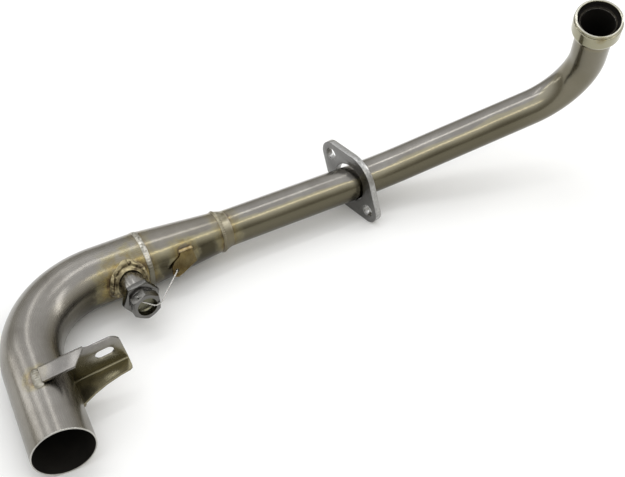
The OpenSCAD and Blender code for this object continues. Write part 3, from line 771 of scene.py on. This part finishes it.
def strands(name, path, strand_r, pitch):
    """Two wires twisted round a path: at the length s each centre is P + r (n cos t + b sin t) with
    t = 2 pi s / pitch, half a turn apart. A circle of radius r is carried along each, to a point at its
    ends."""
    steps = np.linalg.norm(np.diff(path, axis=0), axis=1)
    station = np.concatenate([[0], np.cumsum(steps)])
    s = np.linspace(0, station[-1], int(station[-1] / pitch * 16))
    centre = np.stack([np.interp(s, station, path[:, k]) for k in range(3)], -1)
    along = np.gradient(centre, s, axis=0)
    along /= np.linalg.norm(along, axis=1, keepdims=True)
    steady = np.array([0.50, 0.75, -0.43])
    n = np.cross(along, steady)
    n /= np.linalg.norm(n, axis=1, keepdims=True)
    b = np.cross(along, n)
    columns = 10
    ring = np.linspace(0, 2 * np.pi, columns + 1)
    lap = ring[:-1]
    made = []
    for half in (0, np.pi):
        t = (2 * np.pi * s / pitch + half)[:, None]
        strand = centre + strand_r * (n * np.cos(t) + b * np.sin(t))
        skin_r = strand_r * np.where((s < s[1]) | (s > s[-2]), 0.0, 1.0)[:, None, None]
        skin = strand[:, None] + skin_r * (n[:, None] * np.cos(lap)[None, :, None]
                                           + b[:, None] * np.sin(lap)[None, :, None])
        skin = placed(boss_frame, *np.moveaxis(skin, -1, 0))
        made.append(closed_off(lay_surface(name + ("_a" if half else "_b"), skin, s, ring * strand_r)))
    return made


wire_steel = plain_steel(
    "wire_steel", ((0.55, 0.54, 0.51), (0.70, 0.69, 0.66)), "UV", 900.0, 900.0, (0.16, 0.28))
wire_path = rounded(wire_route, radius=0.0016, steps=12, closed=False)
for strand in strands("wire_strand", wire_path, strand_r=0.0003, pitch=0.0036):
    put_in_place(strand, "lockwire", "wire_steel", wire_steel)

# The turned, cut and folded pieces.
# They keep the solids' own outlines; a copy of each gets its edges broken as a file or a
# tumbling drum leaves them.


def worked(node, width, *steels, body="header"):
    """A merged copy of a node's mesh, its flat faces made whole and its sharp edges rounded by width."""
    merge_gap, flat_angle, sharp_angle = 0.000004, np.radians(0.6), np.radians(32)
    shape = bmesh.new()
    shape.from_mesh(frame["nodes"][node].data)
    bmesh.ops.remove_doubles(shape, verts=shape.verts, dist=merge_gap)
    bmesh.ops.dissolve_limit(shape, angle_limit=flat_angle, verts=shape.verts, edges=shape.edges)
    for face in shape.faces:
        face.smooth = True
        face.material_index = 0
    mesh = bpy.data.meshes.new("worked_" + node)
    shape.to_mesh(mesh)
    shape.free()
    copy = bpy.data.objects.new("worked_" + node, mesh)
    bpy.context.scene.collection.objects.link(copy)
    soften = copy.modifiers.new("broken_edges", "BEVEL")
    soften.width = width
    soften.segments = 3
    soften.limit_method = "ANGLE"
    soften.angle_limit = sharp_angle
    soften.harden_normals = True
    slot = next(s["material_slot"] for s in frame["record"]["subparts"] if s["node"] == node)
    put_in_place(copy, node, slot, *steels, body=body)
    return copy


turned_steel = plain_steel(
    "turned_steel", ((0.22, 0.21, 0.195), (0.29, 0.28, 0.262)), "Object", 700.0, 700.0, (0.18, 0.26))
plug_steel, tree, shader, body, colour = satin_steel(
    "plug_steel", ((0.125, 0.122, 0.115), (0.175, 0.172, 0.164)), "Object", 700.0, 700.0, (0.20, 0.28))
inside = distance_from_axis(tree, body, boss_frame[:3, 3], boss_frame[:3, 2])
dull = add(tree, "ShaderNodeMapRange", {"Value": inside, "From Min": 0.00745, "From Max": 0.0070})
olive = add(tree, "ShaderNodeMix", {0: dull.outputs[0], 6: colour, 7: (0.15, 0.145, 0.105, 1)},
            data_type="RGBA")
finish_steel(tree, shader, olive.outputs[2], body, [])
worked("sensor_boss", 0.0002, turned_steel)
worked("sensor_adapter", 0.0003, plug_steel)
worked("boss_plug", 0.0003, plug_steel)
washer_steel = plain_steel(
    "washer_steel", ((0.20, 0.19, 0.18), (0.30, 0.29, 0.27)), "Object", 1400.0, 1400.0, (0.35, 0.5))
worked("plug_washer", 0.0006, washer_steel)

# The loose flange is cut from plate: its faces are dull, and its sides, square to them, are bright
plate_edge = plain_steel(
    "plate_edge", ((0.24, 0.237, 0.23), (0.52, 0.515, 0.50)), "Object", 1500.0, 1500.0, (0.24, 0.36), 700.0)
plate_steel = plain_steel(
    "plate_steel", ((0.155, 0.153, 0.148), (0.205, 0.202, 0.196)), "Object", 300.0, 900.0, (0.20, 0.28))
flange = worked("loose_flange", 0.0004, plate_steel, plate_edge, body="flange")
faces = flange.data.polygons
face_normal, face_area = np.empty(3 * len(faces)), np.empty(len(faces))
faces.foreach_get("normal", face_normal)
faces.foreach_get("area", face_area)
face_normal = face_normal.reshape(-1, 3)
square_to_plate = np.abs(face_normal @ face_normal[face_area.argmax()]) < 0.5
faces.foreach_set("material_index", square_to_plate.astype(np.int32))

# The bracket is folded from sheet, olive towards its lower part, with heat tint round its upper weld
sheet_steel, tree, shader, body, colour = satin_steel(
    "sheet_steel", ((0.20, 0.19, 0.178), (0.275, 0.265, 0.25)), "Object", 300.0, 100.0, (0.22, 0.28), 60.0)
drop = add(tree, "ShaderNodeVectorMath", {0: body, 1: bracket_frame[:3, 0]}, operation="DOT_PRODUCT")
middle_drop = float(bracket_frame[:3, 0] @ bracket_frame[:3, 3])
olive_share = add(tree, "ShaderNodeMapRange", {"Value": drop.outputs["Value"],
                                               "From Min": middle_drop - 0.0195,
                                               "From Max": middle_drop + 0.006},
                  interpolation_type="SMOOTHSTEP")
darker_mix = add(tree, "ShaderNodeMix", {0: olive_share.outputs[0], 6: colour, 7: (0.20, 0.182, 0.118, 1)},
              data_type="RGBA")
finish_steel(tree, shader, darker_mix.outputs[2], body, [(distance_to(tree, body, bead_place), 0.014, 0.35)])
worked("hanger_bracket", 0.00035, sheet_steel)
tab_steel, tree, shader, body, colour = satin_steel(
    "tab_steel", ((0.085, 0.056, 0.020), (0.24, 0.185, 0.085)), "Object", 400.0, 400.0, (0.20, 0.28), 130.0)
finish_steel(tree, shader, colour, body, [(distance_to(tree, body, tab_foot), 0.018, 0.5)])
worked("lockwire_tab", 0.00025, tab_steel)
tab_weld = weld_steel("tab_weld", (0.55, 0.46, 0.28), (0.28, 0.20, 0.09))
worked("weld_tab", 0.0003, tab_weld)
worked("weld_bracket_lower", 0.0003, gold_weld)
